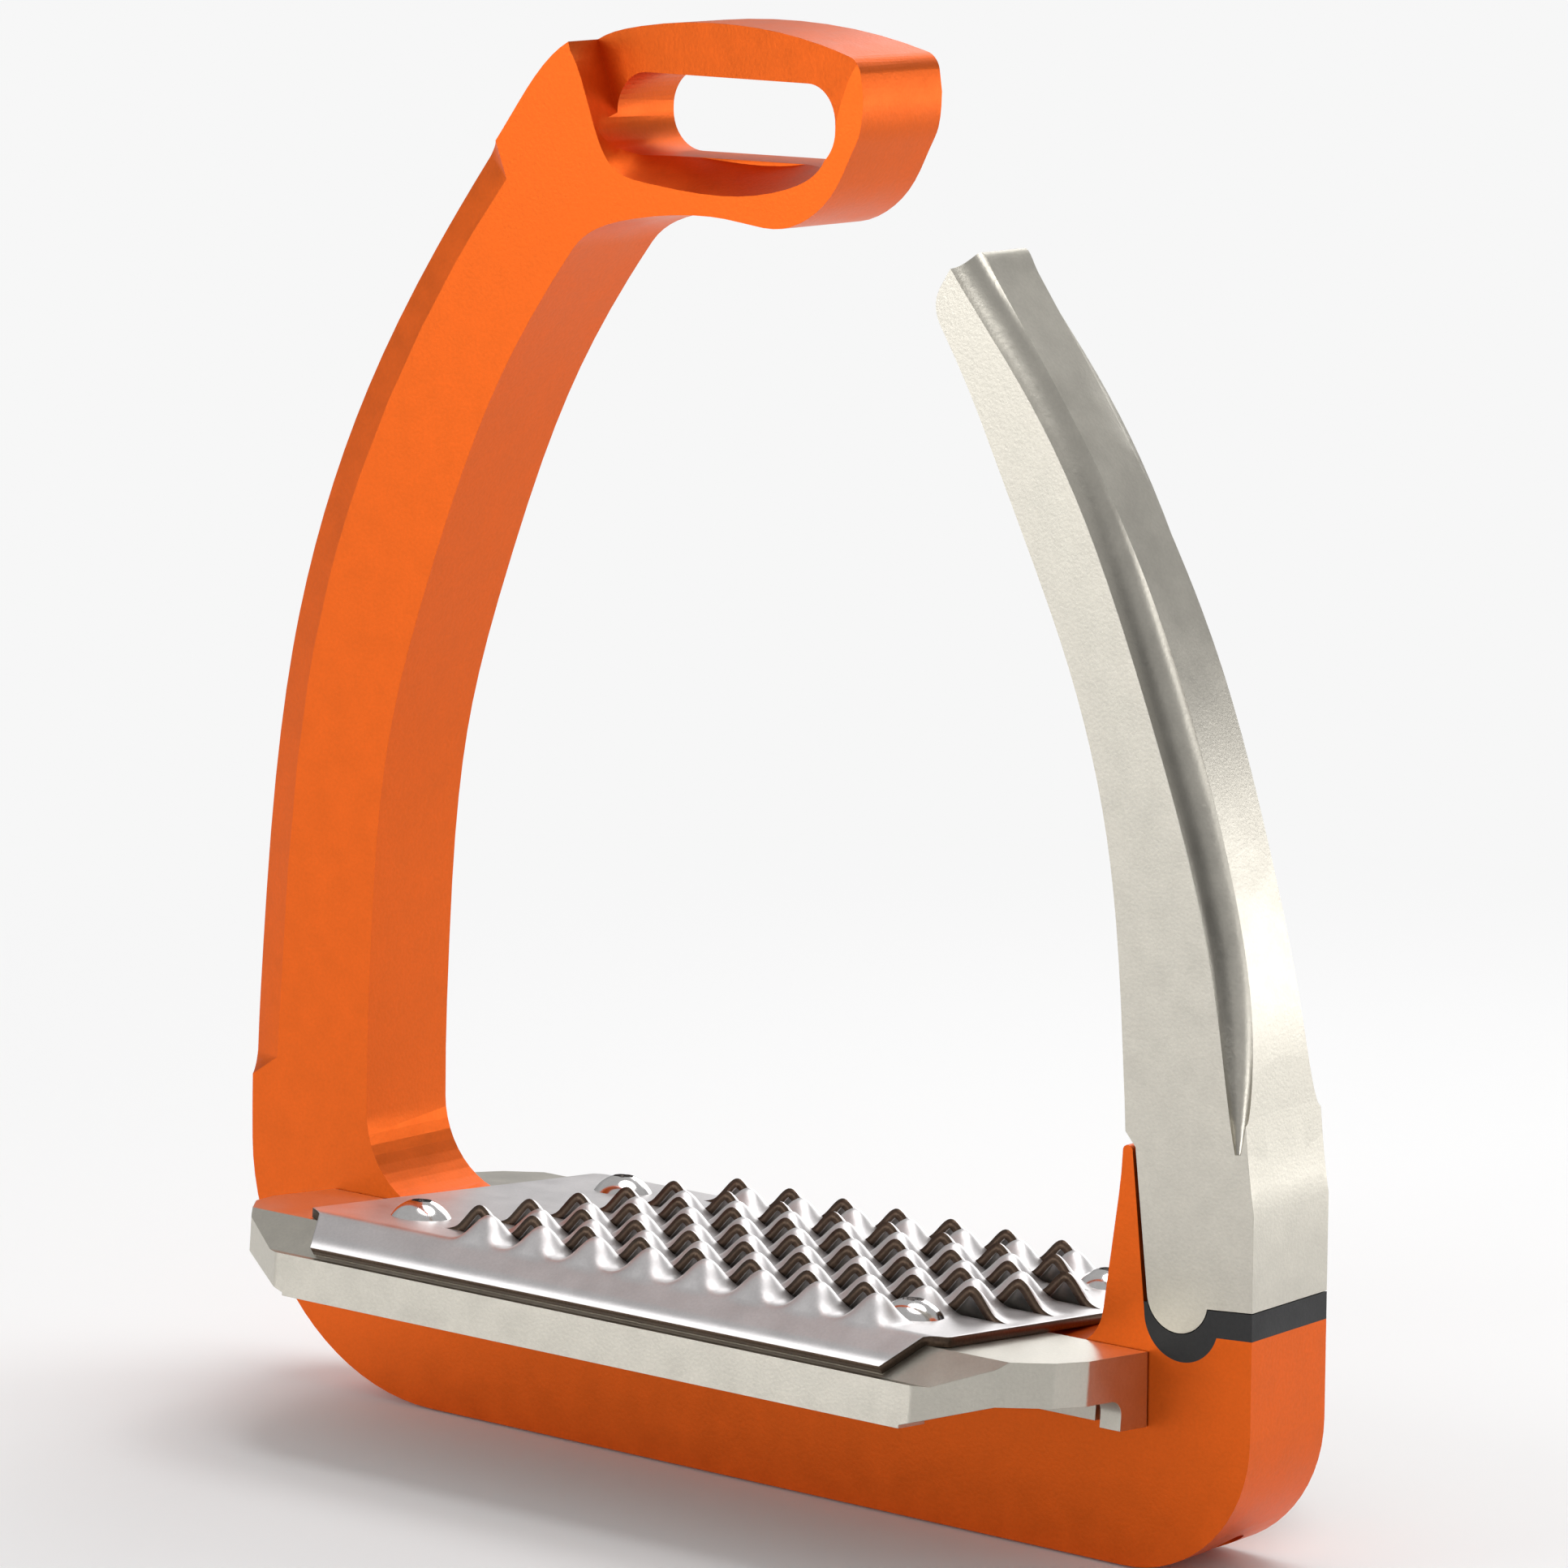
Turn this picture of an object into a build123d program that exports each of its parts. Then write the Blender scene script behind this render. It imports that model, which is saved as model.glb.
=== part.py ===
from build123d import *

import os
from math import cos, radians, sin, tan

# Safety stirrup iron, in millimetres. +X points to the releasing arm, +Y to the back, +Z up.
# The origin is under the middle of the base, which stands on z = 0.

# ---- whole iron -------------------------------------------------------------------------------
half_width = 79.7
total_height = 178.0
frame_depth = 15.0
leg_inner_x = -59.4

# ---- base beam and its two lower corners --------------------------------------------------------
left_corner_r = 31.0
right_corner_r = 18.0
leg_foot_r = 11.5
fin_foot_r = 4.5

# ---- tread, which leans so that its front edge is the higher one ---------------------------------
tread_lean = 5.25
tread_top_z = 27.0
plate_t = 1.2
tray_top = -1.3
seat_half_length = 48.0
seat_drop = -4.2
tray_half_length = 65.0
tray_half_depth = 33.5
tray_bottom = -10.3
end_wall_bottom = -6.6
end_leg_s = 12.0
end_leg_r = 2.0
tray_wall = 3.0
beam_gap = 0.15
shoulder_half_length = 51.4
bend_s = 28.3
lip_angle = 38.5
lip_length = 5.9
slope_length = 6.0

# ---- eye for the leather -------------------------------------------------------------------------
slot_left_x = -20.9
slot_right_x = 16.8
slot_bottom_z = 161.5
slot_top_z = 171.6
slot_corner_r = 4.8
eye_corner_r = 2.6
mouth_run = 6.5
facet_depth = 5.3
bevel_width = 4.3
bevel_depth = 0.9
overcut = 0.4

# ---- releasing arm and its joint -----------------------------------------------------------------
pivot = (79.9, 33.3)
cable_x = 70.0
lobe_center = (69.4, 33.4)
lobe_r = 4.1
groove_center = (69.8, 31.3)
groove_r = 5.4
seal_gap = 0.12
step_z = 32.8
fin_tip = (61.6, 50.6)
fin_gap = 0.35

# ---- draw cable, spring and their fittings -------------------------------------------------------
cable_r = 1.0
cable_split_z = 29.5
arm_bore_r = 4.0
arm_bore_top_z = 76.0
bush_bottom_z = 33.4
bush_length = 4.8
spring_top_z = 68.0
spring_wire_r = 0.5
spring_r = 3.2
spring_turns = 8.0
cup_t = 1.4
ferrule_r = 2.4
ferrule_length = 5.0
anchor_bore_r = 3.0
anchor_shoulder_z = 13.0
plug_bottom_z = 4.3

# ---- fasteners -----------------------------------------------------------------------------------
screw_x = 39.2
screw_s = 19.4
screw_r = 1.95
screw_head_r = 3.8
screw_head_h = 2.2
socket_flats = 2.5
web_screw_xs = (-30.0, 0.0, 30.0)
web_screw_r = 2.4
web_head_r = 4.5

# ---- raised teeth of the grip plate ----------------------------------------------------------------
tooth_pitch_x = 8.7
tooth_pitch_s = 9.27
first_tooth_x = -26.1
tooth_rows = 6
teeth_in_row = 8
screw_clearance = 6.0
tooth_width = 6.6
tooth_height = 3.3
tooth_length = 4.4

front = -frame_depth / 2
tread = Location((0, 0, tread_top_z), (-tread_lean, 0, 0))


def outline_to_solid(curves, depth=frame_depth, middle=0.0):
    """A closed outline drawn in X and Z, made into a solid that runs front to back about y = middle."""
    face = make_face(curves)
    return extrude(Plane.XZ.offset(-middle) * face, amount=depth / 2, both=True)


def box_between(low, high):
    size = [b - a for a, b in zip(low, high)]
    middle = [(a + b) / 2 for a, b in zip(low, high)]
    return Pos(*middle) * Box(*size)


def cylinder_z(x, y, z_low, z_high, r):
    return Pos(x, y, (z_low + z_high) / 2) * Cylinder(r, z_high - z_low)


def both_faces(tool):
    """A cutting tool for the front face, and the same tool for the back face."""
    return [tool, mirror(tool, Plane.XZ)]


# ==== the one-piece frame: eye, fixed leg, base beam, column and fin ==============================

leg_outer_points = [(-35.8, 163.9), (-58.9, 131.0), (-72.4, 97.0), (-78.4, 56.0), (-half_width, 31.0)]
leg_inner_points = [(-24.3, 149.9), (-36.1, 133.5), (-48.0, 108.0), (-55.0, 87.0), (-58.6, 58.0)]


def frame_outline():
    """The frame seen from the front, from the eye's top anticlockwise."""
    eye_top = Spline((20.4, 174.6), (-5.0, total_height), (-18.6, 176.9), (-24.6, 175.3), leg_outer_points[0],
                     tangents=[(-1.0, 0.3), (-0.62, -0.78)])
    leg_outer = Spline(*leg_outer_points, tangents=[(-0.62, -0.78), (0, -1)])
    left_corner = RadiusArc(leg_outer @ 1, (-half_width + left_corner_r, 0), -left_corner_r)
    bottom = Line(left_corner @ 1, (half_width - right_corner_r, 0))
    right_corner = RadiusArc(bottom @ 1, (half_width, right_corner_r), -right_corner_r)
    column = Line(right_corner @ 1, (half_width, 29.9))
    step = Line(column @ 1, (74.7, 29.6))
    groove = ThreePointArc(step @ 1, (groove_center[0], groove_center[1] - groove_r), (64.3, 31.0))
    fin_outer = Line(groove @ 1, (fin_tip[0] + 0.7, fin_tip[1] - 0.6))
    tip = ThreePointArc(fin_outer @ 1, fin_tip, (fin_tip[0] - 0.7, fin_tip[1] - 0.6))
    fin_inner = Spline(tip @ 1, (60.0, 41.8), (58.3, 30.2), tangents=[(-0.04, -1), (-0.15, -1)])
    fin_foot = TangentArc(fin_inner @ 1, (53.8, 25.5), tangent=fin_inner % 1)
    shoulder = Line(fin_foot @ 1, (leg_inner_x + leg_foot_r, 25.5))
    leg_foot = RadiusArc(shoulder @ 1, (leg_inner_x, 25.5 + leg_foot_r), leg_foot_r)
    leg_inner = Spline(leg_foot @ 1, *reversed(leg_inner_points), tangents=[(0, 1), (0.64, 0.77)])
    eye_left = Spline(leg_inner @ 1, (-15.4, 154.0), (-5.0, 155.1), tangents=[(0.64, 0.77), (1, 0.03)])
    eye_bottom = Spline(eye_left @ 1, (10.2, 154.6), (16.5, 158.9), (19.4, 163.9), (21.0, 170.4),
                        tangents=[(1, 0.03), (0.02, 1)])
    eye_end = Line(eye_bottom @ 1, (20.4, 174.6))
    return [eye_top, leg_outer, left_corner, bottom, right_corner, column, step, groove, fin_outer,
            tip, fin_inner, fin_foot, shoulder, leg_foot, leg_inner, eye_left, eye_bottom, eye_end]


def leather_slot():
    """The slot right through the eye."""
    middle = ((slot_left_x + slot_right_x) / 2, 0, (slot_bottom_z + slot_top_z) / 2)
    width = slot_right_x - slot_left_x
    height = slot_top_z - slot_bottom_z
    blank = Pos(*middle) * Box(width, 2 * frame_depth, height)
    return fillet(blank.edges().filter_by(Axis.Y), slot_corner_r)


def slot_mouth():
    """The front face's recess: it widens the slot below and at the left, and sets the top bar back.

    Its walls lean inwards, and its floor is a plane that meets the front face along a slanted line
    at the eye's free end and lies deepest at the leg."""
    rim = [(-27.0, 182.0), (-24.7, 174.0), (-20.9, 165.0), (-17.6, 159.8), (-12.5, 158.4),
           (9.0, 158.7), (14.5, 161.5), (16.8, 166.7), (20.4, 174.6), (24.0, 182.0)]
    deep = [(-26.9, 182.0), (-24.5, 174.0), (-20.4, 166.2), (-16.4, 162.4), (-11.5, 161.6),
            (7.6, 161.6), (12.2, 163.2), (15.8, 167.4), (20.4, 174.6), (24.0, 182.0)]
    rings = []
    for points, y in ((rim, front - 0.4), (deep, front + mouth_run)):
        sides = Spline(*points[1:-1])
        edges = [sides, Line(sides @ 1, points[-1]), Line(points[-1], points[0]), Line(points[0], sides @ 0)]
        rings.append(Plane.XZ.offset(-y) * make_face(edges))
    funnel = loft(rings)
    crease_low = Vector(16.8, front, 166.9)
    crease_high = Vector(20.1, front, 174.0)
    leg_side = Vector(-25.0, front + facet_depth, 174.2)
    facet = Plane(origin=crease_low, x_dir=crease_high - crease_low,
                  z_dir=(crease_high - crease_low).cross(leg_side - crease_low))
    in_front = facet if facet.z_dir.Y < 0 else -facet
    top_bar = funnel & (in_front * Pos(0, 0, 100) * Box(300, 300, 200))
    low_side = funnel & box_between((-40, -40, 150), (slot_right_x, 0, slot_top_z - slot_corner_r))
    return top_bar, low_side & leather_reach()


def leather_reach():
    """Everything of the mouth below the top bar, where the walls run on to the slot."""
    return box_between((-40, -40, 150), (slot_right_x, front + mouth_run, 166.5))


def beside(curve, t, distance):
    """The point at t on a curve, moved by a distance to the curve's left."""
    along = curve % t
    return (curve @ t) + Vector(-along.Y, along.X) * distance


def leg_bevel():
    """A broad, shallow facet along the leg's outer front edge, running out at both ends."""
    outer = Spline(*leg_outer_points, tangents=[(-0.62, -0.78), (0, -1)])
    slope = bevel_width / bevel_depth
    rings = []
    for y, inset in ((-overcut, bevel_width + slope * overcut), (bevel_depth + overcut, -slope * overcut)):
        top = beside(outer, 0.0, -3.0)
        low = beside(outer, 0.955, -3.0)
        crease = Spline(*[beside(outer, t, inset) for t in (0.03, 0.25, 0.5, 0.75, 0.92)])
        edges = [Line(top, crease @ 0), crease, Line(crease @ 1, low), Line(low, (-100, low.Y)),
                 Line((-100, low.Y), (-100, top.Y)), Line((-100, top.Y), top)]
        rings.append(Plane.XZ.offset(-(front + y)) * make_face(edges))
    return loft(rings)


def make_frame():
    body = outline_to_solid(frame_outline())
    eye_corner = body.edges().filter_by(Axis.Y).sort_by_distance((20.4, 0, 174.6))[0]
    body = fillet(eye_corner, eye_corner_r)
    body -= tread * box_between((-seat_half_length, -10, seat_drop), (seat_half_length, 10, 10))
    body -= tread * box_between((-shoulder_half_length, -10, tray_top), (shoulder_half_length, 10, 10))
    body -= leather_slot()
    for tool in slot_mouth():
        body -= tool
    for cutter in both_faces(leg_bevel()):
        body -= cutter
    body -= cylinder_z(cable_x, 0, -5, anchor_shoulder_z, anchor_bore_r)
    body -= cylinder_z(cable_x, 0, anchor_shoulder_z - 1, 30, cable_r + 0.5)
    body -= cylinder_z(cable_x, 0, 20.5, 30, 2.5)
    for x in web_screw_xs:
        body -= tread * cylinder_z(x, 0, -17.0, 0, web_screw_r + 0.05)
    return body


# ==== the joint: rubber seal and the releasing arm ==================================================

arm_tip_run = (0.58, -0.81)
arm_foot_run = (0.18, -0.98)
arm_inner_points = [(32.1, 146.4), (33.2, 143.7), (37.2, 136.9), (42.3, 126.7), (52.0, 106.2), (57.9, 86.8), (60.9, 58.0)]
arm_outer_points = [(38.3, 150.1), (43.6, 142.9), (54.2, 127.6), (65.1, 107.0), (72.3, 87.0), (77.3, 66.0),
                    (half_width, 45.0)]


def make_seal():
    """The rubber pad that fills the joint between the column's groove and the arm's lobe."""
    corners = [(64.3, 31.0), (64.22, 32.3), (66.0, 32.3), (72.0, 33.6), (half_width, 34.0), (half_width, 29.9)]
    blank = make_face([ThreePointArc((74.7, 29.6), (groove_center[0], groove_center[1] - groove_r), (64.3, 31.0)),
                       Polyline(*corners, (74.7, 29.6))])
    pad = extrude(Plane.XZ * (blank - offset(make_face(arm_outline()), seal_gap)), frame_depth / 2, both=True)
    return pad - cylinder_z(cable_x, 0, 20, 40, 2.2)


def arm_outline():
    """The arm seen from the front, from its inner foot clockwise."""
    fin_side_low = (64.2 + fin_gap + 0.15, 32.9)
    fin_side_high = (fin_tip[0] + 0.75 + fin_gap, fin_tip[1] - 0.1)
    clear_fin = Line(fin_side_low, fin_side_high)
    shelf = Line(clear_fin @ 1, (61.2, fin_tip[1] + 1.6))
    inner = Spline(shelf @ 1, *reversed(arm_inner_points), tangents=[(-0.03, 1), (-0.1, 1)])
    tip = Spline(inner @ 1, (33.4, 149.9), (36.3, 152.9), arm_outer_points[0],
                 tangents=[(-0.1, 1), arm_tip_run])
    outer = Spline(*arm_outer_points, tangents=[arm_tip_run, arm_foot_run])
    side = Line(outer @ 1, (half_width, pivot[1]))
    step = Line(side @ 1, (73.3, step_z))
    lobe = ThreePointArc(step @ 1, (lobe_center[0], lobe_center[1] - lobe_r), fin_side_low)
    return [clear_fin, shelf, inner, tip, outer, side, step, lobe]


# Share of the way down the arm, then the section's inset, half width and depth in millimetres.
flute_stations = [(0.0, 0.0, 2.6, 3.4), (0.35, 0.0, 2.8, 3.4), (0.6, 0.0, 3.1, 3.3), (0.8, 0.3, 2.6, 2.7),
                  (0.9, 1.0, 1.3, 1.3), (0.94, 1.4, 0.4, 0.4)]


def arm_flute():
    """The round-bottomed flute along the arm's outer front edge: it runs out to a point near the joint."""
    outer = Spline(*arm_outer_points, tangents=[arm_tip_run, arm_foot_run])
    start = outer @ 0
    above = (start.X - 8 * arm_tip_run[0], front, start.Y - 8 * arm_tip_run[1])
    sections = [Plane(origin=above, x_dir=(0, 1, 0), z_dir=(arm_tip_run[0], 0, arm_tip_run[1])) * Ellipse(3.4, 2.6)]
    for t, inset, inboard, deep in flute_stations:
        spot = beside(outer, t, -inset)
        along = outer % t
        section = Plane(origin=(spot.X, front, spot.Y), x_dir=(0, 1, 0), z_dir=(along.X, 0, along.Y))
        sections.append(section * Ellipse(deep, inboard))
    return loft(sections)


def make_arm():
    body = outline_to_solid(arm_outline())
    for cutter in both_faces(arm_flute()):
        body -= cutter
    body -= cylinder_z(cable_x, 0, 20, arm_bore_top_z, arm_bore_r)
    return body


# ==== the draw cable, its spring and fittings =======================================================

def make_arm_bush():
    bush = cylinder_z(cable_x, 0, bush_bottom_z, bush_bottom_z + bush_length, arm_bore_r - 0.02)
    mouth = Pos(cable_x, 0, bush_bottom_z + 0.75) * Cone(cable_r + 1.3, cable_r + 0.3, 1.5)
    return bush - cylinder_z(cable_x, 0, 20, 60, cable_r + 0.3) - mouth


def make_spring():
    low = bush_bottom_z + bush_length + spring_wire_r
    high = spring_top_z - spring_wire_r
    coil = Pos(cable_x, 0, low) * Helix(pitch=(high - low) / spring_turns, height=high - low, radius=spring_r)
    wire = Plane(origin=coil @ 0, z_dir=coil % 0) * Circle(spring_wire_r)
    return sweep(wire, path=coil, is_frenet=True)


def make_spring_cup():
    """The flanged washer on the spring; its neck centres the coil."""
    flange = cylinder_z(cable_x, 0, spring_top_z, spring_top_z + cup_t, arm_bore_r - 0.25)
    neck = cylinder_z(cable_x, 0, spring_top_z - 3.0, spring_top_z, spring_r - spring_wire_r - 0.2)
    return flange + neck - cylinder_z(cable_x, 0, 60, 80, cable_r + 0.15)


def make_top_ferrule():
    low = spring_top_z + cup_t
    stop = cylinder_z(cable_x, 0, low, low + ferrule_length, ferrule_r)
    return chamfer(stop.edges(), 0.4) - cylinder_z(cable_x, 0, low - 1, low + ferrule_length - 1.2, cable_r)


def make_bottom_ferrule():
    high = anchor_shoulder_z
    stop = cylinder_z(cable_x, 0, high - ferrule_length, high, ferrule_r)
    return chamfer(stop.edges(), 0.4) - cylinder_z(cable_x, 0, high - ferrule_length + 1.2, high + 1, cable_r)


def make_upper_cable():
    top = spring_top_z + cup_t + ferrule_length - 1.2
    return cylinder_z(cable_x, 0, cable_split_z, top, cable_r)


def make_lower_cable():
    return cylinder_z(cable_x, 0, anchor_shoulder_z - ferrule_length + 1.2, cable_split_z, cable_r)


def make_base_bush():
    """The flared guide where the cable leaves the column, pressed in under the seal."""
    bush = cylinder_z(cable_x, 0, 20.5, 25.6, 2.5)
    mouth = Pos(cable_x, 0, 25.0) * Cone(cable_r + 0.3, cable_r + 1.2, 1.4)
    return bush - cylinder_z(cable_x, 0, 10, 30, cable_r + 0.3) - mouth


def make_anchor_plug():
    """The socket screw that closes the bore under the column and keeps the lower ferrule in."""
    plug = cylinder_z(cable_x, 0, plug_bottom_z, anchor_shoulder_z - ferrule_length, anchor_bore_r - 0.02)
    socket = Pos(cable_x, 0, plug_bottom_z) * extrude(RegularPolygon(3.0 / 2, 6, major_radius=False), 2.0)
    return plug - socket


# ==== the tread: tray, grip plate and screws ========================================================

def tray_plan():
    """The tray seen from above: straight edges, cut corners and ends that reach past the beam."""
    quarter = [(50.5, tray_half_depth), (59.2, 29.0), (63.6, 23.6), (tray_half_length, 19.0)]
    around = []
    for flip_x, flip_s in ((1, 1), (-1, 1), (-1, -1), (1, -1)):
        corner = [(flip_x * x, flip_s * s) for x, s in quarter]
        around += corner if flip_x * flip_s < 0 else corner[::-1]
    return make_face(Polyline(*around, close=True))


def lip_point(depth, along):
    """A point on the line a given depth under the folded lip's top face, in the tread's side view."""
    lean = radians(lip_angle)
    start = bend_s - depth * tan(lean / 2)
    return (start + along * cos(lean), -depth - along * sin(lean))


def tray_edge_slope(side):
    """What is cut away above the long edge so that the plate's folded lip can lie on it."""
    bend = lip_point(-tray_top, 0)
    foot = lip_point(-tray_top, slope_length)
    profile = Plane.YZ * make_face(Polyline((bend[0], 5.0), bend, foot, (40.0, foot[1]), (40.0, 5.0), close=True))
    wedge = extrude(profile, amount=100, both=True)
    return wedge if side > 0 else mirror(wedge, Plane.XZ)


def tray_end_cut(side, reach):
    """What is cut away under one corner: the wall is low round the end and slopes down to its full depth."""
    low = tray_bottom - 1
    slope = [(49.0, low), (49.0, tray_bottom + 0.4), (59.2, end_wall_bottom), (70.0, end_wall_bottom), (70.0, low)]
    profile = Plane.XZ * make_face(Polyline(*slope, close=True))
    cut = Pos(0, 25.0 + end_leg_s, 0) * extrude(profile, 25.0, both=True)
    top_edge = cut.edges().filter_by(Axis.X).filter_by_position(Axis.Y, end_leg_s - 0.1, end_leg_s + 0.1)
    cut = fillet(top_edge.sort_by(Axis.Z)[-1], end_leg_r)
    if reach < 0:
        cut = mirror(cut, Plane.XZ)
    return cut if side > 0 else mirror(cut, Plane.YZ)


def make_tray():
    plan = tray_plan()
    blank = Pos(0, 0, tray_bottom) * extrude(plan, tray_top - tray_bottom)
    edges = blank.edges().filter_by(Axis.Z)
    blank = fillet(edges, 1.6)
    inside = Pos(0, 0, tray_bottom - 1) * extrude(offset(plan, -tray_wall), seat_drop - tray_bottom + 1)
    hollow = inside & box_between((-70, -28.5, -20), (70, 28.5, seat_drop))
    blank = blank - hollow
    for side in (-1, 1):
        blank -= tray_edge_slope(side)
        rib = box_between((-61, 8.6, tray_bottom + 0.6), (61, 11.6, seat_drop + 0.5))
        blank += rib if side > 0 else mirror(rib, Plane.XZ)
    for x in (-screw_x, screw_x):
        for s in (-screw_s, screw_s):
            blank += cylinder_z(x, s, tray_bottom + 1.0, seat_drop + 0.5, 4.2)
    for x in (-screw_x, screw_x):
        for s in (-screw_s, screw_s):
            blank -= cylinder_z(x, s, tray_bottom - 1, 5, screw_r + 0.05)
    for side in (-1, 1):
        for reach in (-1, 1):
            blank -= tray_end_cut(side, reach)
    for x in web_screw_xs:
        blank -= cylinder_z(x, 0, -20, 5, web_screw_r + 0.1)
        blank -= Pos(x, 0, tray_top - 1.3) * Cone(web_screw_r, web_head_r + 0.1, 2.6)
    blank = tread * blank
    half = frame_depth / 2 + beam_gap
    for side in (-1, 1):
        low_x, high_x = sorted((side * seat_half_length, side * 90))
        blank -= box_between((low_x, -half, 0), (high_x, half, 60))
    under_web = tread * box_between((-90, -60, -60), (90, 60, seat_drop))
    return blank - (under_web & box_between((-90, -half, -20), (90, half, 60)))


def plate_side():
    """The plate from its side: flat top with a lip folded down along the front and back edges."""
    points = [lip_point(0, 0), lip_point(0, lip_length), lip_point(plate_t, lip_length), lip_point(plate_t, 0)]
    mirrored = [(-s, h) for s, h in reversed(points)]
    return make_face(Polyline(*points, *mirrored, close=True))


def plate_outline():
    corner = [(45.2, 33.4), (48.0, 28.6), (50.7, 27.0)]
    around = []
    for flip_x, flip_s in ((1, 1), (-1, 1), (-1, -1), (1, -1)):
        part = [(flip_x * x, flip_s * s) for x, s in corner]
        around += part[::-1] if flip_x * flip_s > 0 else part
    return make_face(Polyline(*around, close=True))


def tooth_centers():
    for row in range(tooth_rows):
        s = (row - (tooth_rows - 1) / 2) * tooth_pitch_s
        for column in range(teeth_in_row):
            x = first_tooth_x + column * tooth_pitch_x
            near_screw = any(abs(x - sx) < screw_clearance and abs(s - ss) < screw_clearance
                             for sx in (-screw_x, screw_x) for ss in (-screw_s, screw_s))
            if not near_screw:
                yield x, s


def tooth():
    arch = Plane.XZ * make_face([ThreePointArc((-tooth_width / 2, 0), (0, tooth_height), (tooth_width / 2, 0)),
                                 Line((tooth_width / 2, 0), (-tooth_width / 2, 0))])
    return extrude(arch, amount=tooth_length / 2, both=True)


def make_plate():
    sheet = extrude(Plane.YZ * plate_side(), amount=60, both=True)
    sheet &= Pos(0, 0, -20) * extrude(plate_outline(), 40)
    for x, s in tooth_centers():
        sheet += Pos(x, s, -0.05) * tooth()
    for x in (-screw_x, screw_x):
        for s in (-screw_s, screw_s):
            sheet -= cylinder_z(x, s, -5, 8, screw_r + 0.15)
    return tread * sheet


def button_screw():
    """A button-head socket screw with its head's seat at the origin."""
    dome_r = (screw_head_r**2 + screw_head_h**2) / (2 * screw_head_h)
    dome = Pos(0, 0, screw_head_h - dome_r) * Sphere(dome_r)
    head = dome & Pos(0, 0, 4) * Cylinder(screw_head_r, 8)
    shank = cylinder_z(0, 0, -8.5, 0.2, screw_r)
    socket = Pos(0, 0, 0.9) * extrude(RegularPolygon(socket_flats / 2, 6, major_radius=False), 4)
    return head + shank - socket


def make_tread_screws():
    places = [(x, s) for x in (-screw_x, screw_x) for s in (-screw_s, screw_s)]
    return Compound([tread * Pos(x, s, 0) * button_screw() for x, s in places])


def countersunk_screw():
    """A countersunk socket screw with its head's flat top at the origin."""
    head = Pos(0, 0, -1.25) * Cone(web_screw_r - 0.1, web_head_r, 2.5)
    shank = cylinder_z(0, 0, -15.0, -2.4, web_screw_r)
    socket = Pos(0, 0, -1.6) * extrude(RegularPolygon(1.5, 6, major_radius=False), 4)
    return head + shank - socket


def make_web_screws():
    return Compound([tread * Pos(x, 0, tray_top) * countersunk_screw() for x in web_screw_xs])


parts = {
    "frame": make_frame(),
    "joint_seal": make_seal(),
    "release_arm": make_arm(),
    "arm_bush": make_arm_bush(),
    "draw_spring": make_spring(),
    "spring_cup": make_spring_cup(),
    "top_ferrule": make_top_ferrule(),
    "bottom_ferrule": make_bottom_ferrule(),
    "draw_cable_upper": make_upper_cable(),
    "draw_cable_lower": make_lower_cable(),
    "base_bush": make_base_bush(),
    "anchor_plug": make_anchor_plug(),
    "tread_tray": make_tray(),
    "grip_plate": make_plate(),
    "tread_screws": make_tread_screws(),
    "tray_screws": make_web_screws(),
}

if __name__ == "__main__":
    os.makedirs("parts", exist_ok=True)
    for name, shape in parts.items():
        export_step(shape, f"parts/{name}.step")
        print(name, len(shape.solids()), "solids", round(shape.volume, 1), "mm3")
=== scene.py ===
from math import cos, pi, radians, sin, tan

import bmesh
import bpy
from mathutils import Matrix, Vector


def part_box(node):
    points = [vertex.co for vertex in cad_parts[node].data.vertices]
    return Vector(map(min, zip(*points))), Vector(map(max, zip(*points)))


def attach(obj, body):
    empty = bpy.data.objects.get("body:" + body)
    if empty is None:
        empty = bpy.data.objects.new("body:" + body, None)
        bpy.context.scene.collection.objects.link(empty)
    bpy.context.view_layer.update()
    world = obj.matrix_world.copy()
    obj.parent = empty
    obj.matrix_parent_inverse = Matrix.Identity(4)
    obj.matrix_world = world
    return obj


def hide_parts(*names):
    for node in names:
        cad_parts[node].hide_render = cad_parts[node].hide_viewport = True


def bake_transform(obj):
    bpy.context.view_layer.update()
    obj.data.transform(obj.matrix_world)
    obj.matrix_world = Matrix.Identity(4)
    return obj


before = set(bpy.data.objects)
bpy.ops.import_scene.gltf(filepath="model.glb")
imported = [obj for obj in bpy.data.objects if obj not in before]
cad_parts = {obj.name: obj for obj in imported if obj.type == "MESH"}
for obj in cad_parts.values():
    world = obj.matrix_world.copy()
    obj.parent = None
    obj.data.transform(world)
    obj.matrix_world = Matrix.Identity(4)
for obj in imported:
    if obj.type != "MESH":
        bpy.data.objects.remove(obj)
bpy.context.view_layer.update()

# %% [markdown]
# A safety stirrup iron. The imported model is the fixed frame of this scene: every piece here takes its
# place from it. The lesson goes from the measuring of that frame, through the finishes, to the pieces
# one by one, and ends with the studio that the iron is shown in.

mm = 0.001


# %% Two helpers that every later cell uses
def placed(name, data):
    """A new object that holds the data, linked to the scene."""
    thing = bpy.data.objects.new(name, data)
    bpy.context.scene.collection.objects.link(thing)
    return thing


def mesh_from(shape, name):
    """A mesh made from a bmesh, which is then freed."""
    mesh = bpy.data.meshes.new(name)
    shape.to_mesh(mesh)
    shape.free()
    return mesh


# %% [markdown]
# The camera comes first, because every look is judged through it. A long lens from well away gives the
# flat perspective of a product picture. The camera is aimed by three angles, so that its roll can be
# set as well as where it looks.

# %% Camera
view_azimuth = radians(39.4)
view_elevation = radians(9.57)
view_roll = radians(0.28)
view_distance = 822.64 * mm
view_target = Vector((3.33, 0.0, 85.83)) * mm

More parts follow.
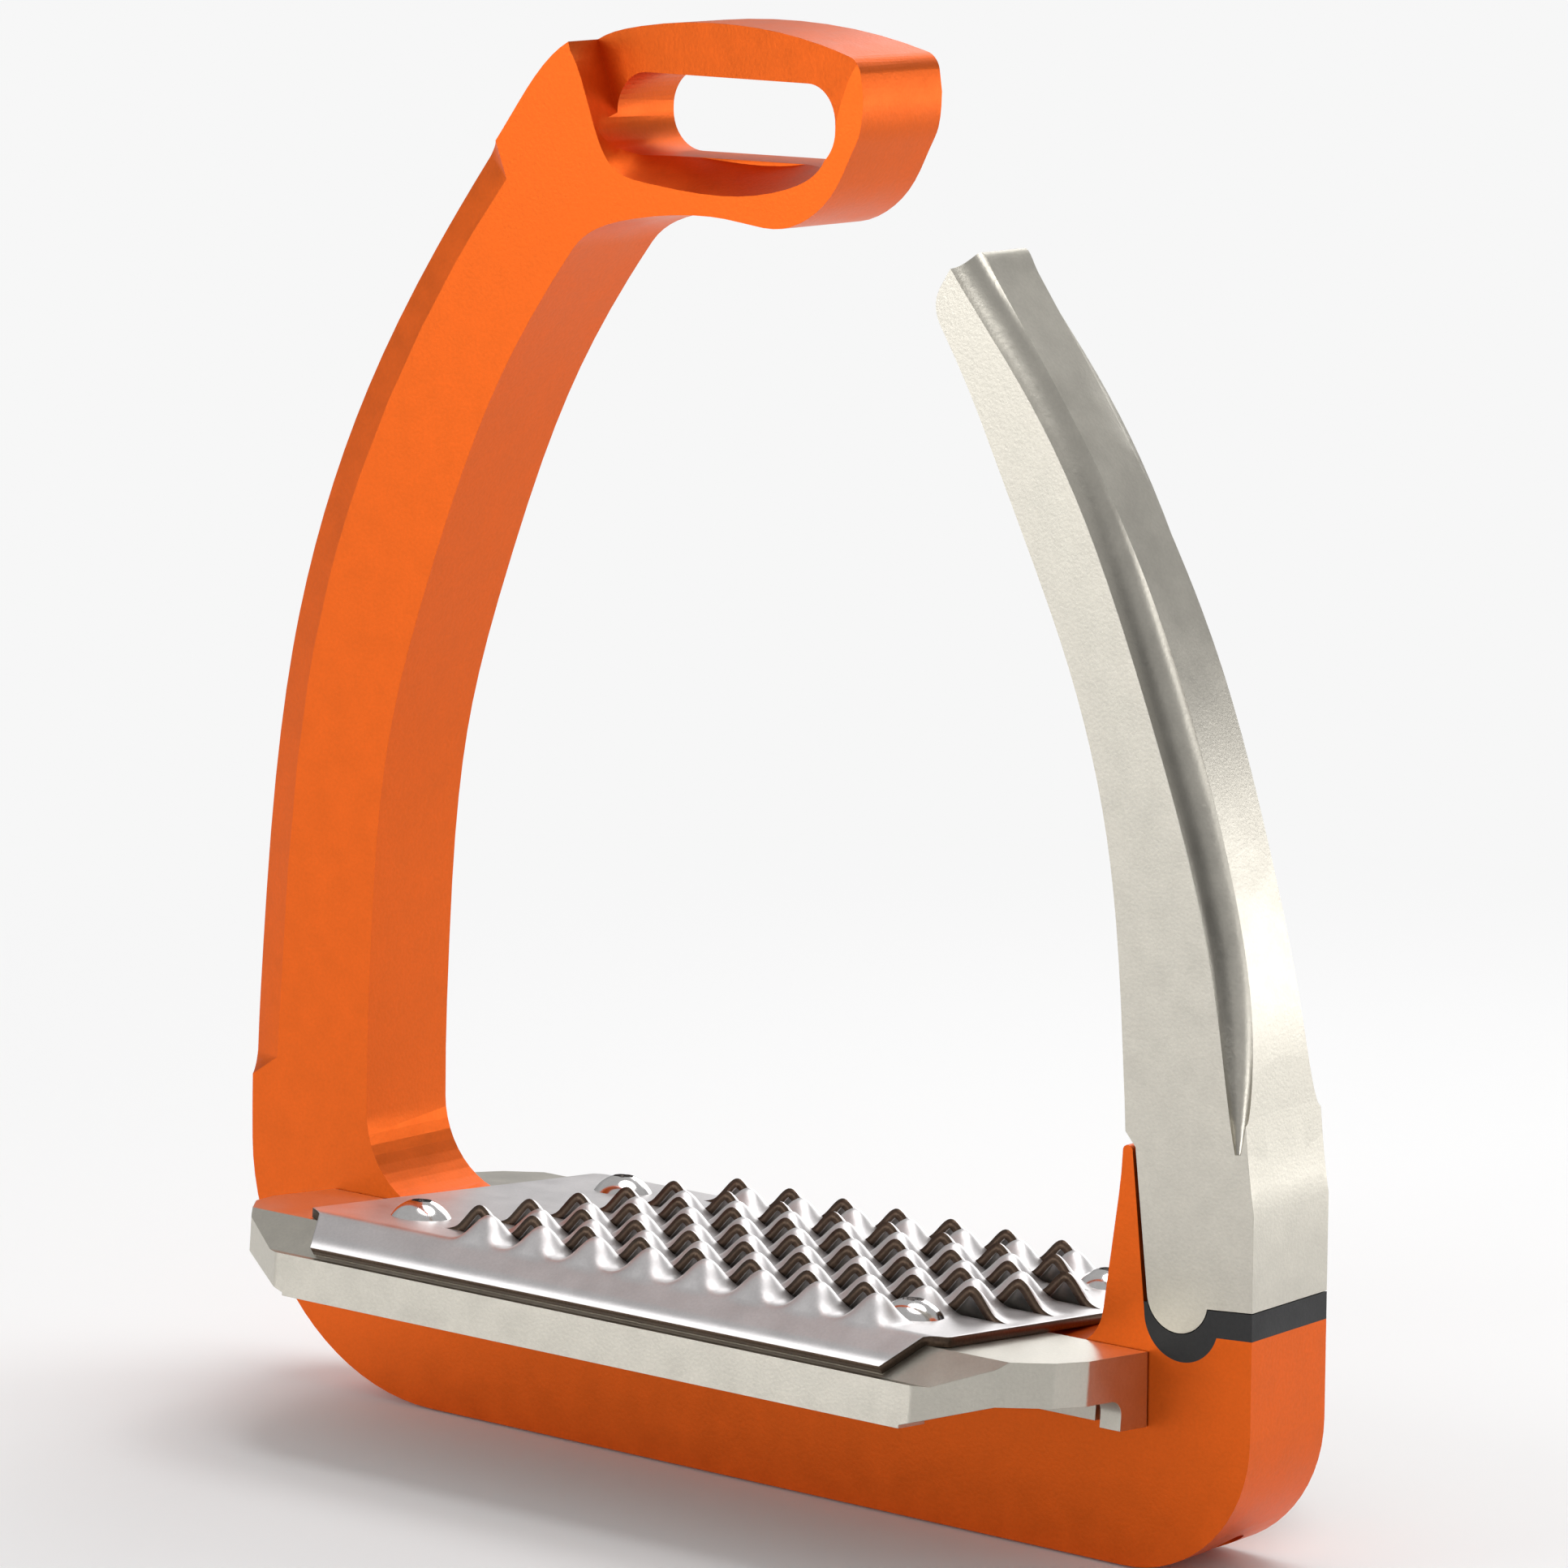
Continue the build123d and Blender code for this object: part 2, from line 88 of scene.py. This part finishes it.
camera = placed("camera", bpy.data.cameras.new("camera"))
camera.data.lens = 154.96
camera.data.sensor_width = 36.0
camera.data.clip_end = 10.0
towards_camera = Vector((sin(view_azimuth) * cos(view_elevation),
                         -cos(view_azimuth) * cos(view_elevation),
                         sin(view_elevation)))
camera.location = view_target + towards_camera * view_distance
upright = towards_camera.to_track_quat("Z", "Y")
camera.rotation_euler = (upright @ Matrix.Rotation(view_roll, 3, "Z").to_quaternion()).to_euler()
bpy.context.scene.camera = camera
print("camera at", [round(v / mm) for v in camera.location], "mm")

# %% [markdown]
# ## Finishes
# Nearly everything on the iron is metal with a fine blasted grain. It could be painted on an image, but a
# procedural grain has no seams and stays sharp at any distance. One helper makes such a metal: noise in
# Object coordinates varies the colour and the roughness a little, and a finer noise gives the grain as
# a bump. Numbers that are the same all over the surface are set on the shader's own sockets.


# %% Small node helpers
def rescaled(nodes, links, value, low, high, to_low=0.0, to_high=1.0, smooth=False):
    """The value, with low to high turned into to_low to to_high."""
    node = nodes.new("ShaderNodeMapRange")
    if smooth:
        node.interpolation_type = "SMOOTHSTEP"
    node.inputs["From Min"].default_value = low
    node.inputs["From Max"].default_value = high
    node.inputs["To Min"].default_value = to_low
    node.inputs["To Max"].default_value = to_high
    links.new(value, node.inputs["Value"])
    return node.outputs["Result"]


def multiplied(nodes, links, color, by):
    node = nodes.new("ShaderNodeMix")
    node.data_type = "RGBA"
    node.blend_type = "MULTIPLY"
    node.inputs["Factor"].default_value = 1.0
    links.new(color, node.inputs["A"])
    links.new(by, node.inputs["B"])
    return node.outputs["Result"]


def noise(nodes, links, place, scale, detail, roughness=0.5):
    node = nodes.new("ShaderNodeTexNoise")
    node.inputs["Scale"].default_value = scale
    node.inputs["Detail"].default_value = detail
    node.inputs["Roughness"].default_value = roughness
    links.new(place, node.inputs["Vector"])
    return node.outputs["Fac"]


# %% A helper for grainy metals
cloud_scale = 260.0
noise_low, noise_high = 0.3, 0.7


def grainy_metal(name, color, roughness, grain_size, grain_depth, color_change, roughness_change=0.06,
                 metallic=1.0):
    """A metal whose grain has the given size and depth in metres; color_change is a share of the colour."""
    material = bpy.data.materials.new(name)
    material.use_nodes = True
    nodes, links = material.node_tree.nodes, material.node_tree.links
    shader = nodes["Principled BSDF"]
    shader.inputs["Metallic"].default_value = metallic
    place = nodes.new("ShaderNodeTexCoord").outputs["Object"]

    cloud = noise(nodes, links, place, cloud_scale, 4.0)
    tint = nodes.new("ShaderNodeValToRGB")
    dark, light = tint.color_ramp.elements
    dark.position, light.position = noise_low, noise_high
    dark.color = (*[c * (1 - color_change) for c in color], 1)
    light.color = (*[min(1.0, c * (1 + color_change)) for c in color], 1)
    links.new(cloud, tint.inputs["Fac"])

    grain = noise(nodes, links, place, 0.6 / grain_size, 2.5, 0.6)
    freckle = rescaled(nodes, links, grain, noise_low, noise_high, 1 - 2 * color_change, 1.0)
    links.new(multiplied(nodes, links, tint.outputs["Color"], freckle), shader.inputs["Base Color"])
    polish = rescaled(nodes, links, cloud, noise_low, noise_high,
                      roughness - roughness_change, roughness + roughness_change)
    links.new(polish, shader.inputs["Roughness"])

    bump = nodes.new("ShaderNodeBump")
    bump.inputs["Strength"].default_value = 1.0
    bump.inputs["Distance"].default_value = grain_depth
    links.new(grain, bump.inputs["Height"])
    links.new(bump.outputs["Normal"], shader.inputs["Normal"])
    return material


# %% The finishes of this iron
anodised_orange = grainy_metal("anodised_orange", (0.80, 0.13, 0.010), 0.40, 0.28 * mm, 0.022 * mm,
                               0.035, 0.03, metallic=0.85)
champagne_satin = grainy_metal("champagne_satin", (0.61, 0.58, 0.51), 0.36, 0.24 * mm, 0.018 * mm, 0.04, 0.03)
sheet_steel = grainy_metal("sheet_steel", (0.72, 0.70, 0.70), 0.43, 0.22 * mm, 0.010 * mm, 0.04, 0.03)
# The cut edges of the grip plate: a near-black brown that is painted shade, standing in for the shade and
# dark reflections on these edges.
sheet_edge_painted_shade = grainy_metal("sheet_edge_painted_shade", (0.13, 0.09, 0.065), 0.45, 0.2 * mm, 0.02 * mm, 0.15)
polished_steel = grainy_metal("polished_steel", (0.78, 0.76, 0.75), 0.14, 0.3 * mm, 0.002 * mm, 0.03, 0.03)
spring_wire = grainy_metal("spring_wire", (0.50, 0.50, 0.51), 0.25, 0.2 * mm, 0.004 * mm, 0.05, 0.04)
turned_bronze = grainy_metal("turned_bronze", (0.58, 0.38, 0.19), 0.30, 0.2 * mm, 0.006 * mm, 0.06)
cable_steel = grainy_metal("cable_steel", (0.42, 0.42, 0.43), 0.33, 0.15 * mm, 0.006 * mm, 0.08)
seal_rubber = grainy_metal("seal_rubber", (0.012, 0.012, 0.013), 0.50, 0.3 * mm, 0.02 * mm, 0.2,
                           metallic=0.0)
print("finishes:", len(bpy.data.materials))

# %% [markdown]
# ## Cast and machined pieces
# The frame and the arm are cut from solid metal, the tray is cast and the seal is moulded rubber. They
# could be modelled again from their outlines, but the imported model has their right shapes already. Only
# its edges are knife sharp, and a real edge always catches a line of light. So a merged copy of each is
# given a small rounded bevel, with the flat faces kept flat.

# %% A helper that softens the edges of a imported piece
sharp_angle = radians(24.0)
same_point = 0.002 * mm
flat_enough = radians(0.4)


def softened(node, name, body, material, edge_r):
    """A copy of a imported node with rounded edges; it stands for the node."""
    shape = bmesh.new()
    shape.from_mesh(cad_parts[node].data)
    bmesh.ops.remove_doubles(shape, verts=shape.verts, dist=same_point)
    bmesh.ops.dissolve_limit(shape, angle_limit=flat_enough, verts=shape.verts, edges=shape.edges)
    mesh = mesh_from(shape, name)
    mesh.materials.clear()
    mesh.materials.append(material)
    mesh.polygons.foreach_set("material_index", [0] * len(mesh.polygons))
    mesh.polygons.foreach_set("use_smooth", [True] * len(mesh.polygons))
    mesh.set_sharp_from_angle(angle=sharp_angle)
    piece = placed(name, mesh)
    rounding = piece.modifiers.new("rounded edges", "BEVEL")
    rounding.width = edge_r
    rounding.segments = 3
    rounding.limit_method = "ANGLE"
    rounding.angle_limit = sharp_angle
    rounding.use_clamp_overlap = True
    rounding.harden_normals = True
    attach(piece, body)
    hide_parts(node)
    print(name, "faces", len(mesh.polygons))
    return piece


# %% Frame, arm, tray and seal
softened("frame", "iron_frame", "frame", anodised_orange, 0.8 * mm)
softened("release_arm", "swing_arm", "arm", champagne_satin, 0.45 * mm)
softened("tread_tray", "tray", "frame", champagne_satin, 0.7 * mm)
softened("joint_seal", "rubber_seal", "frame", seal_rubber, 0.15 * mm)

# %% [markdown]
# ## The grip plate
# On the real plate a press slits the sheet along straight rows and lifts the metal on both sides of each
# slit: behind it a tall wave whose sheared edge lies in shade, before it a lower row of rounded domes. Cones
# joined to a flat plate could suggest the teeth, but not the open slits. So the sheet is made strip by
# strip between the slits from grids, whose points are lifted near the slits, and a Solidify modifier
# gives the sheet its thickness; its cut edges get a dark brown colour that is painted shade.

# %% Sizes of the sheet
tread_lean = radians(5.25)
tread_top = 27.0 * mm
sheet_t = 1.2 * mm
plate_half_width = 50.7 * mm
plain_half_width = 44.0 * mm
corner_start = 27.0 * mm
corner_end = 28.6 * mm
corner_cut = 2.7 * mm
lip_taper = 0.5
bend_s = 28.3 * mm
lip_angle = radians(38.5)
lip_length = 5.9 * mm
bend_r = 1.4 * mm
tread_place = Matrix.Translation((0, 0, tread_top)) @ Matrix.Rotation(-tread_lean, 4, "X")
print("flat sheet", round(2 * plate_half_width / mm, 1), "by", round(2 * (bend_s + lip_length) / mm, 1), "mm")

# %% Sizes of the rows, the waves and the domes
row_count = 6
row_pitch = 9.28 * mm
rows = [(k - (row_count - 1) / 2) * row_pitch for k in range(row_count)]
crest_pitch = 8.7 * mm
first_crest = -26.1 * mm
crests_in_row = [8, 9, 9, 9, 8, 7]
last_row_shift = 2.9 * mm
wave_h = 3.7 * mm
valley_h = 0.75 * mm
wave_half_width = 4.1 * mm
wave_run = 4.0 * mm
row_end_room = 5.6 * mm
row_end_run = 3.0 * mm
dome_h = 3.2 * mm
dome_shift = 3.7 * mm
dome_before = 2.3 * mm
dome_half_width = 3.9 * mm
dome_half_length = 3.5 * mm
dome_power = 0.75
print("waves in all:", sum(crests_in_row))


# %% How far the metal is lifted on each side of a slit
def bump_shape(distance, half_width):
    """1 at the middle, falling smoothly to 0 at the half width."""
    return 0.5 * (1 + cos(pi * min(abs(distance) / half_width, 1.0)))


def smooth_step(t):
    t = min(max(t, 0.0), 1.0)
    return t * t * (3 - 2 * t)


def crests_of(row):
    shift = last_row_shift if row == len(rows) - 1 else 0.0
    return [first_crest + shift + k * crest_pitch for k in range(crests_in_row[row])]


def wave_lift(x, row):
    """The strip behind a slit: its front edge is a wave that stands a little proud in the valleys too."""
    crests = crests_of(row)
    from_left = x - (crests[0] - row_end_room)
    from_right = crests[-1] + row_end_room - x
    inside = smooth_step(from_left / row_end_run) * smooth_step(from_right / row_end_run)
    tallest = max(bump_shape(x - crest, wave_half_width) for crest in crests)
    return inside * (valley_h + (wave_h - valley_h) * tallest)


def dome_lift(x, ahead, row):
    """The strip before a slit: closed domes that stand in the gaps between the wave's crests."""
    tops = [crest + dome_shift for crest in crests_of(row)]
    if 0 < row < len(rows) - 1:
        tops.pop()
    across = max(bump_shape(x - top, dome_half_width) for top in tops)
    along = bump_shape(ahead - dome_before, dome_half_length)
    return dome_h * (across * along) ** dome_power


def lift(x, u, row_before, row_behind):
    """The lift of a point at x and at distance u along the sheet, from the slits on both sides of it."""
    height = 0.0
    if row_before is not None:
        height += wave_lift(x, row_before) * smooth_step(1 - (u - rows[row_before]) / wave_run)
    if row_behind is not None:
        height += dome_lift(x, rows[row_behind] - u, row_behind)
    return height


# %% The folded sheet: from a distance along the sheet to its side view, and its half width there
def fold(u):
    """Where a point at distance u from the sheet's middle lies, as (s, h), after the lips are folded down."""
    side = 1 if u > 0 else -1
    along = abs(u)
    arc_start = bend_s - bend_r * tan(lip_angle / 2)
    arc_length = bend_r * lip_angle
    if along <= arc_start:
        return u, 0.0
    turned = min((along - arc_start) / bend_r, lip_angle)
    s = arc_start + bend_r * sin(turned)
    h = -bend_r * (1 - cos(turned))
    rest = max(along - arc_start - arc_length, 0.0)
    return side * (s + rest * cos(lip_angle)), h - rest * sin(lip_angle)


def half_width(u):
    along = abs(u)
    if along < corner_start:
        return plate_half_width
    if along < corner_end:
        return plate_half_width - (along - corner_start) / (corner_end - corner_start) * corner_cut
    return plate_half_width - corner_cut - (along - corner_end) * lip_taper


def narrowed(x, u):
    """The x of a point after the sheet's outer ends are drawn in to the outline."""
    if abs(x) <= plain_half_width:
        return x
    side = 1 if x > 0 else -1
    share = (half_width(u) - plain_half_width) / (plate_half_width - plain_half_width)
    return side * (plain_half_width + (abs(x) - plain_half_width) * share)


# %% Where the points of a strip lie along the sheet
bend_steps = (27.8, 28.2, 28.6, 29.0, 29.6)
behind_edge_slit = (0.0, 0.5, 1.2, 2.0, 2.8, 3.6, 4.1)
behind_slit = (0.0, 0.35, 0.8, 1.3, 1.8, 2.4, 3.0)
before_edge_slit = (4.3, 3.9, 3.4, 2.9, 2.4, 1.9, 1.4, 0.9, 0.45, 0.0)
before_slit = (5.8, 5.3, 4.8, 4.3, 3.8, 3.3, 2.8, 2.3, 1.8, 1.3, 0.9, 0.45, 0.0)
lip_share = 0.4


def strip_stations(row_before, row_behind):
    """Distances along the sheet for one strip, closer together near its slits and its bend."""
    edge = bend_s + lip_length
    if row_before is None:
        stations = [-edge, lip_share * lip_length - edge] + [-step * mm for step in reversed(bend_steps)]
        return stations + [rows[row_behind] - step * mm for step in before_edge_slit]
    if row_behind is None:
        stations = [rows[row_before] + step * mm for step in behind_edge_slit]
        return stations + [step * mm for step in bend_steps] + [edge - lip_share * lip_length, edge]
    stations = [rows[row_before] + step * mm for step in behind_slit]
    return stations + [rows[row_behind] - step * mm for step in before_slit]


# %% The sheet, strip by strip
columns = 232
sheet = bmesh.new()
for strip in range(len(rows) + 1):
    row_before = strip - 1 if strip > 0 else None
    row_behind = strip if strip < len(rows) else None
    stations = strip_stations(row_before, row_behind)
    last = len(stations) - 1
    grid = bmesh.ops.create_grid(sheet, x_segments=columns, y_segments=last, size=1.0)["verts"]
    for vert in grid:
        u = stations[round((vert.co.y + 1) / 2 * last)]
        x = vert.co.x * plate_half_width
        s, h = fold(u)
        vert.co = tread_place @ Vector((narrowed(x, u), s, h + lift(x, u, row_before, row_behind)))
bmesh.ops.remove_doubles(sheet, verts=sheet.verts, dist=0.01 * mm)
sheet.normal_update()
print("grip plate: points", len(sheet.verts), "faces", len(sheet.faces))

# %% The plate as a piece
plate_mesh = mesh_from(sheet, "tread_plate")
plate_mesh.materials.append(sheet_steel)
# Second slot: the dark brown painted shade for the sheet's cut edges.
plate_mesh.materials.append(sheet_edge_painted_shade)
plate_mesh.polygons.foreach_set("use_smooth", [True] * len(plate_mesh.polygons))
plate = placed("tread_plate", plate_mesh)
thickness = plate.modifiers.new("sheet thickness", "SOLIDIFY")
thickness.thickness = sheet_t
thickness.offset = -1.0
# The rim faces, which are the sheet's cut edges, take the second slot, the painted shade.
thickness.material_offset_rim = 1
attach(plate, "frame")
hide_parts("grip_plate")
print("tread_plate is", round(sheet_t / mm, 1), "mm thick")

# %% [markdown]
# ## Small metal pieces
# The screws, bushes, spring and cable fittings are turned, coiled or bought-in steel and bronze parts.
# Most of them are hidden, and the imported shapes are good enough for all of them, so they stay. Each gets
# its finish through its material slots.

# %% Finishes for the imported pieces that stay
kept_finish = {"tread_screws": polished_steel, "tray_screws": polished_steel, "anchor_plug": polished_steel,
               "draw_spring": spring_wire, "spring_cup": spring_wire, "top_ferrule": spring_wire,
               "bottom_ferrule": spring_wire, "arm_bush": turned_bronze, "base_bush": turned_bronze}
for node, finish in kept_finish.items():
    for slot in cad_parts[node].material_slots:
        slot.material = finish
    print(node, "->", finish.name)

# %% [markdown]
# ## The draw cable
# On the real iron one stranded steel cable runs from the ferrule in the base, through the joint, to the
# ferrule above the spring. A curve with a round bevel would give a plain rod, so it is a grooved circle
# swept straight up and turned as it goes, which shows the twist of the strands. It bends at the joint
# when the arm swings; here it is one straight piece, not attached to either body.

# %% Draw cable
cable_low, cable_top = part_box("draw_cable_lower")[0].z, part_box("draw_cable_upper")[1].z
cable_x = (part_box("draw_cable_upper")[0].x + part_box("draw_cable_upper")[1].x) / 2
cable_r = 0.97 * mm
groove_share = 0.86
strands, points_per_strand, rings, lay_length = 6, 4, 96, 14 * mm

cable_shape = bmesh.new()
ring_low = bmesh.ops.create_circle(cable_shape, cap_ends=True, segments=strands * points_per_strand,
                                   radius=cable_r)["verts"]
for number, vert in enumerate(ring_low):
    if number % points_per_strand == 0:
        vert.co *= groove_share
bmesh.ops.translate(cable_shape, verts=ring_low, vec=(cable_x, 0, cable_low))
length = cable_top - cable_low
bmesh.ops.spin(cable_shape, geom=list(cable_shape.faces) + list(cable_shape.edges) + list(cable_shape.verts),
               cent=(cable_x, 0, cable_low), axis=(0, 0, 1), dvec=(0, 0, length / rings),
               angle=2 * pi * length / lay_length, steps=rings, use_merge=False, use_duplicate=False)
bmesh.ops.recalc_face_normals(cable_shape, faces=cable_shape.faces)

# %% The cable as a piece
cable_mesh = mesh_from(cable_shape, "draw_cable")
cable_mesh.materials.append(cable_steel)
cable_mesh.polygons.foreach_set("use_smooth", [True] * len(cable_mesh.polygons))
draw_cable = placed("draw_cable", cable_mesh)
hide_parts("draw_cable_upper", "draw_cable_lower")
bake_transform(draw_cable)
print("draw cable from", round(cable_low / mm, 1), "to", round(cable_top / mm, 1), "mm")

# %% [markdown]
# ## The studio
# The iron stands on a plain pale floor. A curved paper sweep would hide the horizon too, but a flat floor
# that fades into an even glow away from the iron does it from every side.

# %% Floor
fade_start, fade_end = 0.12, 0.45
backdrop_white = (0.93, 0.93, 0.93, 1)

floor_shape = bmesh.new()
bmesh.ops.create_grid(floor_shape, x_segments=1, y_segments=1, size=3.0)
floor = placed("floor", mesh_from(floor_shape, "floor"))
floor.location.z = -0.3 * mm
floor_paint = bpy.data.materials.new("floor_paint")
floor_paint.use_nodes = True
nodes, links = floor_paint.node_tree.nodes, floor_paint.node_tree.links
matt_white = nodes["Principled BSDF"]
matt_white.inputs["Base Color"].default_value = (0.92, 0.92, 0.92, 1)
matt_white.inputs["Roughness"].default_value = 0.9
glow = nodes.new("ShaderNodeEmission")
glow.inputs["Color"].default_value = backdrop_white
reach = nodes.new("ShaderNodeVectorMath")
reach.operation = "LENGTH"
links.new(nodes.new("ShaderNodeTexCoord").outputs["Object"], reach.inputs[0])
fade = rescaled(nodes, links, reach.outputs["Value"], fade_start, fade_end, smooth=True)
paint_or_glow = nodes.new("ShaderNodeMixShader")
links.new(fade, paint_or_glow.inputs["Fac"])
links.new(matt_white.outputs["BSDF"], paint_or_glow.inputs[1])
links.new(glow.outputs["Emission"], paint_or_glow.inputs[2])
links.new(paint_or_glow.outputs["Shader"], nodes["Material Output"].inputs["Surface"])
floor.data.materials.append(floor_paint)
print("floor glows beyond", fade_end, "m")

# %% [markdown]
# Four soft round lights: one overhead, one at the front left, and two behind that lay a sheen along the
# faces turned away. Small lamps would put hard spots on the metal, so each is wide.


# %% Lights
def soft_light(name, place, aim_at, size, power):
    lamp = bpy.data.lights.new(name, "AREA")
    lamp.shape = "DISK"
    lamp.size = size
    lamp.energy = power
    light = placed(name, lamp)
    light.location = place
    light.rotation_euler = (Vector(place) - Vector(aim_at)).to_track_quat("Z", "Y").to_euler()


middle = (0.0, 0.0, 0.09)
soft_light("overhead", (0.05, 0.25, 0.9), middle, 0.7, 4.2)
soft_light("left_front", (-0.55, -0.95, 0.35), middle, 0.6, 3.4)
soft_light("back_card", (-0.35, 1.2, 0.42), middle, 0.9, 5.0)
soft_light("back_right", (0.75, 0.85, 0.10), middle, 0.5, 2.0)
print("lights:", len(bpy.data.lights))

# %% [markdown]
# Bare metal shows what stands round it. A room that is evenly white leaves it flat, so the world is
# bright above, dimmer low down and nearly dark at the arm's side, and this is what draws the dark bands
# in the flutes.

# %% World
dark_side_start, dark_side_end, dark_side_level = 0.70, 0.95, 0.12

world = bpy.data.worlds.new("studio")
world.use_nodes = True
nodes, links = world.node_tree.nodes, world.node_tree.links
split = nodes.new("ShaderNodeSeparateXYZ")
links.new(nodes.new("ShaderNodeTexCoord").outputs["Generated"], split.inputs["Vector"])
gradient = nodes.new("ShaderNodeValToRGB")
low, high = gradient.color_ramp.elements
low.position, high.position = 0.42, 0.75
low.color = (0.45, 0.45, 0.46, 1)
high.color = (0.95, 0.95, 0.95, 1)
links.new(rescaled(nodes, links, split.outputs["Z"], -1.0, 1.0), gradient.inputs["Fac"])
dark_side = rescaled(nodes, links, split.outputs["X"], dark_side_start, dark_side_end,
                     1.0, dark_side_level, smooth=True)
sky = nodes["Background"]
sky.inputs["Strength"].default_value = 0.5
links.new(multiplied(nodes, links, gradient.outputs["Color"], dark_side), sky.inputs["Color"])
backdrop = nodes.new("ShaderNodeBackground")
backdrop.inputs["Color"].default_value = backdrop_white
seen = nodes.new("ShaderNodeLightPath")
sky_or_backdrop = nodes.new("ShaderNodeMixShader")
links.new(seen.outputs["Is Camera Ray"], sky_or_backdrop.inputs["Fac"])
links.new(sky.outputs["Background"], sky_or_backdrop.inputs[1])
links.new(backdrop.outputs["Background"], sky_or_backdrop.inputs[2])
links.new(sky_or_backdrop.outputs["Shader"], nodes["World Output"].inputs["Surface"])
bpy.context.scene.world = world
bpy.context.scene.view_settings.view_transform = "Standard"
print("world:", world.name)
